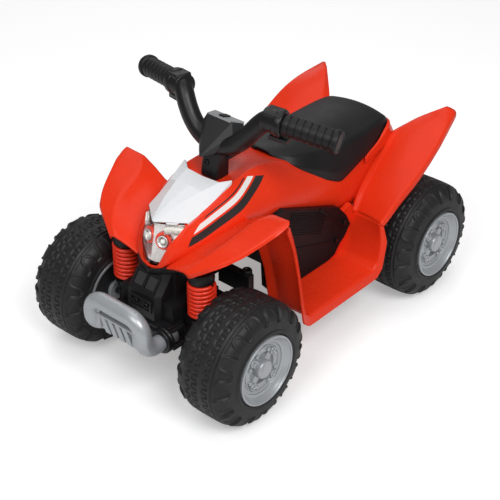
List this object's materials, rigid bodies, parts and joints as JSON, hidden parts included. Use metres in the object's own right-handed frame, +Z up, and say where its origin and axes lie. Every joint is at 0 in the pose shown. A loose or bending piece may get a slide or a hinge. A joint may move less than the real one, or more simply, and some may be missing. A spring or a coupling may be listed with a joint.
{
  "type": "ride_on_quad_bike",
  "caption": "Small battery quad bike for a toddler, red moulded body with white cowl, black seat, chunky tyres, silver rims and bumper, working steering",
  "frame": {"origin": "on the ground under the middle of the wheelbase, centre plane", "axes": "+X rider's left, +Y rear of the bike, +Z up; the front faces -Y"},
  "size_m": [0.423, 0.6791, 0.4387],
  "materials": {
    "red_body": "gloss moulded",
    "red_spring": "gloss paint",
    "white_cowl": "gloss moulded",
    "black_body": "satin moulded",
    "black_frame": "satin moulded",
    "grey_dash": "satin moulded",
    "light_panel": "satin moulded",
    "black_rocker": "satin moulded",
    "black_bar": "satin moulded",
    "black_grip": "ribbed",
    "black_switch": "satin moulded",
    "silver_plastic": "metallic silver moulded",
    "tyre_plastic": "matt blow moulded",
    "steel": "plain",
    "shock_black": "satin",
    "clear_lens": "clear",
    "bright_reflector": "mirror bright",
    "bulb_glass": "frosted",
    "gear_plastic": "natural",
    "battery_case": "satin"
  },
  "bodies": {
    "chassis": {"chassis_frame": "black_frame", "body_shell": "red_body", "front_fender_left": "red_body", "front_fender_right": "red_body", "rear_fender_left": "red_body", "rear_fender_right": "red_body", "footwell_left": "red_body", "footwell_right": "red_body", "front_cowl": "white_cowl", "headlight_lens": "clear_lens", "headlight_reflector": "bright_reflector", "headlight_bulbs": "bulb_glass", "seat": "black_body", "engine_panel_left": "black_body", "engine_panel_right": "black_body", "panel_screws": "steel", "front_grille": "black_body", "front_bumper": "silver_plastic", "shock_tubes": "shock_black", "shock_springs": "red_spring", "rear_axle": "steel", "rear_axle_nuts": "steel", "battery": "battery_case", "battery_strap": "black_frame", "gear_case": "black_frame", "drive_motor": "steel", "charge_socket": "black_frame", "steering_bush": "black_frame"},
    "steering": {"steering_column": "steel", "steering_post": "black_bar", "handlebar": "black_bar", "dash_cover": "grey_dash", "dash_panel": "light_panel", "grip_left": "black_grip", "grip_right": "black_grip", "switch_collar_left": "black_switch", "switch_collar_right": "black_switch"},
    "throttle": {"throttle_lever": "black_switch"},
    "horn": {"horn_lever": "black_switch"},
    "rocker": {"direction_rocker": "black_rocker"},
    "tie": {"tie_rod": "black_frame"},
    "knuckle_l": {"knuckle_left": "steel", "front_axle_nut_left": "steel"},
    "knuckle_r": {"knuckle_right": "steel", "front_axle_nut_right": "steel"},
    "wheel_fl": {"tyre_front_left": "tyre_plastic", "rim_front_left": "silver_plastic", "hub_cap_front_left": "silver_plastic"},
    "wheel_fr": {"tyre_front_right": "tyre_plastic", "rim_front_right": "silver_plastic", "hub_cap_front_right": "silver_plastic"},
    "wheel_rl": {"tyre_rear_left": "tyre_plastic", "rim_rear_left": "silver_plastic", "hub_cap_rear_left": "silver_plastic", "wheel_gear": "gear_plastic"},
    "wheel_rr": {"tyre_rear_right": "tyre_plastic", "rim_rear_right": "silver_plastic", "hub_cap_rear_right": "silver_plastic"},
    "pinion": {"motor_pinion": "gear_plastic"}
  },
  "joints": [
    {"name": "steer", "type": "hinge", "parent": "chassis", "child": "steering", "pos_m": [0, -0.113, 0.304], "axis": [0, 0.2588, 0.9659], "range_deg": [-35, 35]},
    {"name": "tie_slide", "type": "slide", "parent": "chassis", "child": "tie", "axis": [1, 0, 0], "range_m": [-0.0214, 0.0214]},
    {"name": "knuckle_turn_left", "type": "hinge", "parent": "chassis", "child": "knuckle_l", "pos_m": [0.08, -0.225, 0.101], "axis": [0, 0, 1], "range_deg": [-13.1, 13.1]},
    {"name": "knuckle_turn_right", "type": "hinge", "parent": "chassis", "child": "knuckle_r", "pos_m": [-0.08, -0.225, 0.101], "axis": [0, 0, 1], "range_deg": [-13.1, 13.1]},
    {"name": "roll_front_left", "type": "hinge", "parent": "knuckle_l", "child": "wheel_fl", "pos_m": [0.1575, -0.225, 0.101], "axis": [1, 0, 0], "continuous": true},
    {"name": "roll_front_right", "type": "hinge", "parent": "knuckle_r", "child": "wheel_fr", "pos_m": [-0.1575, -0.225, 0.101], "axis": [1, 0, 0], "continuous": true},
    {"name": "roll_rear_left", "type": "hinge", "parent": "chassis", "child": "wheel_rl", "pos_m": [0.1535, 0.225, 0.101], "axis": [1, 0, 0], "continuous": true},
    {"name": "roll_rear_right", "type": "hinge", "parent": "chassis", "child": "wheel_rr", "pos_m": [-0.1535, 0.225, 0.101], "axis": [1, 0, 0], "continuous": true},
    {"name": "pinion_spin", "type": "hinge", "parent": "chassis", "child": "pinion", "pos_m": [0.09, 0.1817, 0.126], "axis": [1, 0, 0], "continuous": true},
    {"name": "throttle_press", "type": "hinge", "parent": "steering", "child": "throttle", "pos_m": [-0.09653, -0.07899, 0.39618], "axis": [-0.1088, 0.0311, 0.9936], "range_deg": [0, 20], "stiffness_Nm_per_rad": 0.06},
    {"name": "horn_press", "type": "hinge", "parent": "steering", "child": "horn", "pos_m": [0.09653, -0.07899, 0.39618], "axis": [0.1088, 0.0311, 0.9936], "range_deg": [-20, 0], "stiffness_Nm_per_rad": 0.06},
    {"name": "rocker_tilt", "type": "hinge", "parent": "steering", "child": "rocker", "pos_m": [0, -0.08309, 0.39362], "axis": [1, 0, 0], "range_deg": [-6, 6]}
  ],
  "couplings": [
    {"joint": "tie_slide", "follows": "steer", "m_per_rad": -0.0349},
    {"joint": "knuckle_turn_left", "follows": "steer", "ratio": 0.372},
    {"joint": "knuckle_turn_right", "follows": "steer", "ratio": 0.372},
    {"joint": "pinion_spin", "follows": "roll_rear_left", "ratio": -4}
  ]
}
